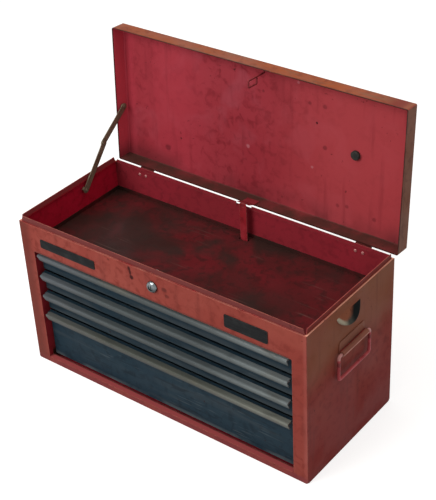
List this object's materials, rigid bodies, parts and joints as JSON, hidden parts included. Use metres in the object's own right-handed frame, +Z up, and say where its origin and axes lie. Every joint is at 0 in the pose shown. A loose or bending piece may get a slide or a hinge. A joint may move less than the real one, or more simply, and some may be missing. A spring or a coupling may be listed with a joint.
{
  "type": "metal tool box",
  "caption": "Sheet-steel tool chest with a hinged lid over an open till, a stack of drawers with full-width pulls, a cylinder lock and drop handles on the sides.",
  "frame": {"origin": "centre of the flat underside of the case, on the surface it stands on", "axes": "+Z up, -Y out of the front where the drawers open, +X to the right seen from the front; the lid is stored open as pictured"},
  "size_m": [0.6839, 0.3469, 0.6091],
  "materials": {
    "case_front": "worn red enamel with dull brownish fading",
    "case_side": "worn dark red enamel, dusty",
    "case_back": "red enamel",
    "till": "red enamel, scuffed and grimy",
    "lid": "crimson enamel with paler mauve wear",
    "lid_fittings": "dark crimson enamel",
    "lock_bar": "red enamel, rubbed",
    "hinge": "red enamel, rubbed at the knuckles",
    "drawer": "slate blue enamel, dusty and scuffed",
    "pull": "bare extruded trim, dulled",
    "slide": "zinc plated, dull",
    "hardware": "zinc plated",
    "lock": "bright chrome",
    "stay": "dark oiled steel",
    "badge": "bare near-black plate",
    "buffer": "dark rubber",
    "handle": "faded red enamel, rubbed on the grip"
  },
  "bodies": {
    "case": {"front_frame": "case_front", "left_side_panel": "case_side", "right_side_panel": "case_side", "handle_bracket_left": "case_side", "handle_bracket_right": "case_side", "back_panel": "case_back", "bottom_pan": "case_back", "till_floor": "till", "hinge_case_leaf_left": "hinge", "hinge_case_leaf_right": "hinge", "slide_upright_left": "slide", "slide_upright_right": "slide", "slide_rail_left_1": "slide", "slide_rail_left_2": "slide", "slide_rail_left_3": "slide", "slide_rail_left_4": "slide", "slide_rail_right_1": "slide", "slide_rail_right_2": "slide", "slide_rail_right_3": "slide", "slide_rail_right_4": "slide", "lock_bar_guide_upper": "slide", "lock_bar_guide_lower": "slide", "hinge_pin_left": "hardware", "hinge_pin_right": "hardware", "lock_nut": "hardware", "lock_barrel": "lock", "stay_case_stud": "stay", "badge_plate_left": "badge", "badge_plate_right": "badge"},
    "lid": {"lid_shell": "lid", "lid_catch": "lid_fittings", "lid_tongue": "lid_fittings", "lid_buffer": "buffer", "stay_lid_stud": "stay", "hinge_lid_leaf_left": "hinge", "hinge_lid_leaf_right": "hinge"},
    "drawer_1": {"drawer_1_tray": "drawer", "drawer_1_pull": "pull", "drawer_1_runner_left": "slide", "drawer_1_runner_right": "slide"},
    "drawer_2": {"drawer_2_tray": "drawer", "drawer_2_pull": "pull", "drawer_2_runner_left": "slide", "drawer_2_runner_right": "slide"},
    "drawer_3": {"drawer_3_tray": "drawer", "drawer_3_pull": "pull", "drawer_3_runner_left": "slide", "drawer_3_runner_right": "slide"},
    "drawer_4": {"drawer_4_tray": "drawer", "drawer_4_pull": "pull", "drawer_4_runner_left": "slide", "drawer_4_runner_right": "slide"},
    "stay_upper": {"stay_upper_link": "stay"},
    "stay_lower": {"stay_lower_link": "stay"},
    "lock_plug": {"lock_plug": "lock", "lock_cam": "hardware"},
    "lock_bar": {"drawer_lock_bar": "lock_bar"},
    "bail_left": {"handle_bail_left": "handle"},
    "bail_right": {"handle_bail_right": "handle"}
  },
  "joints": [
    {"name": "lid_hinge", "type": "hinge", "parent": "case", "child": "lid", "pos_m": [0, 0.144, 0.322], "axis": [1, 0, 0], "range_deg": [0, 93.25]},
    {"name": "stay_lower_pivot", "type": "hinge", "parent": "case", "child": "stay_lower", "pos_m": [-0.321, 0.0383, 0.3098], "axis": [1, 0, 0], "range_deg": [-1, 122.69]},
    {"name": "stay_upper_pivot", "type": "hinge", "parent": "lid", "child": "stay_upper", "pos_m": [-0.3232, 0.17358, 0.43721], "axis": [1, 0, 0], "range_deg": [-125.49, 1]},
    {"name": "lock_bar_slide", "type": "slide", "parent": "case", "child": "lock_bar", "axis": [0, 0, -1], "range_m": [-0.0003, 0.0143]},
    {"name": "drawer_1_slide", "type": "slide", "parent": "case", "child": "drawer_1", "axis": [0, -1, 0], "range_m": [0, 0.19]},
    {"name": "drawer_2_slide", "type": "slide", "parent": "case", "child": "drawer_2", "axis": [0, -1, 0], "range_m": [0, 0.19]},
    {"name": "drawer_3_slide", "type": "slide", "parent": "case", "child": "drawer_3", "axis": [0, -1, 0], "range_m": [0, 0.19]},
    {"name": "drawer_4_slide", "type": "slide", "parent": "case", "child": "drawer_4", "axis": [0, -1, 0], "range_m": [0, 0.19]},
    {"name": "lock_turn", "type": "hinge", "parent": "case", "child": "lock_plug", "pos_m": [0, -0.14, 0.3017], "axis": [0, 1, 0], "range_deg": [0, 90]},
    {"name": "bail_left_swing", "type": "hinge", "parent": "case", "child": "bail_left", "pos_m": [-0.3364, -0.001, 0.2314], "axis": [0, 1, 0], "range_deg": [0, 95]},
    {"name": "bail_right_swing", "type": "hinge", "parent": "case", "child": "bail_right", "pos_m": [0.3364, -0.001, 0.2314], "axis": [0, -1, 0], "range_deg": [0, 95]}
  ],
  "couplings": [
    {"joint": "stay_lower_pivot", "follows": "lid_hinge", "ratio": 1.305},
    {"joint": "stay_upper_pivot", "follows": "lid_hinge", "ratio": -1.335},
    {"joint": "lock_bar_slide", "follows": "lid_hinge", "m_per_rad": 0.008602}
  ]
}
